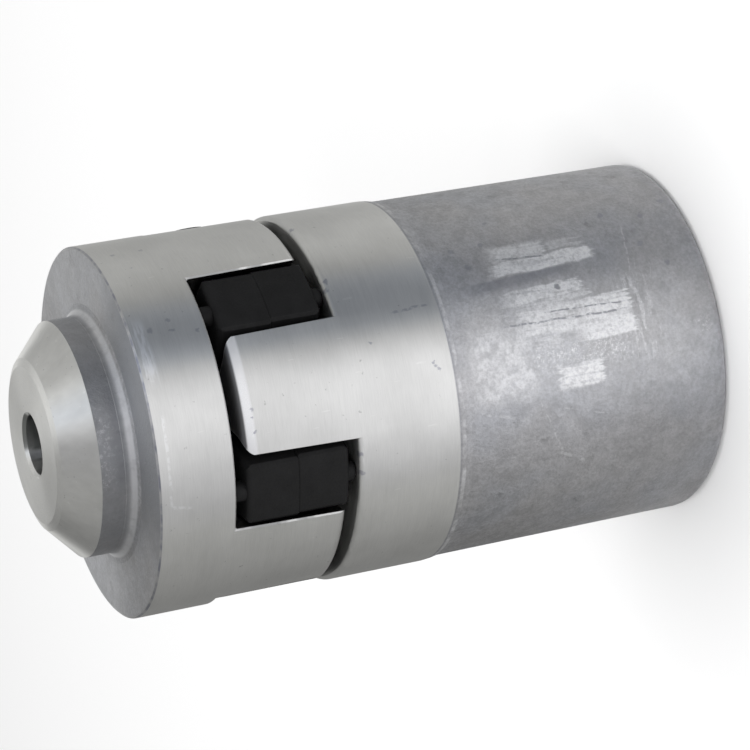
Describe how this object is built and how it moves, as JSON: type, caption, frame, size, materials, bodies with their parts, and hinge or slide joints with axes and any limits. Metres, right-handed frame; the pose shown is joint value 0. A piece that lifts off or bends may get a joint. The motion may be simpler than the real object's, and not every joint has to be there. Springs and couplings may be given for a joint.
{
  "type": "flexible shaft coupling",
  "caption": "Claw coupling of two aluminium halves, a short one with a turned nose and a long cast one, joined through a black rubber spider.",
  "frame": {"origin": "centre of the motor half's free end face, on the coupling's axis", "axes": "+Z along the axis from the motor half up to the pump nose; -Y through the middle of a motor claw"},
  "size_m": [0.065, 0.065, 0.1179],
  "materials": {
    "motor_metal": "turned bright on the band and claws, grey as cast on the barrel",
    "rubber": "matt black moulded rubber",
    "pump_metal": "turned bright on the outside and nose, grey as cast on the outer face and boss wall"
  },
  "bodies": {
    "motor_half": {"motor_half": "motor_metal"},
    "spider": {"spider": "rubber"},
    "pump_half": {"pump_half": "pump_metal"}
  },
  "joints": [
    {"name": "free_play_twist", "type": "hinge", "parent": "motor_half", "child": "spider", "pos_m": [0, 0, 0.0815], "axis": [0, 0, 1], "range_deg": [-2, 2]},
    {"name": "plug_on", "type": "slide", "parent": "spider", "child": "pump_half", "axis": [0, 0, 1], "range_m": [0, 0.025]}
  ]
}
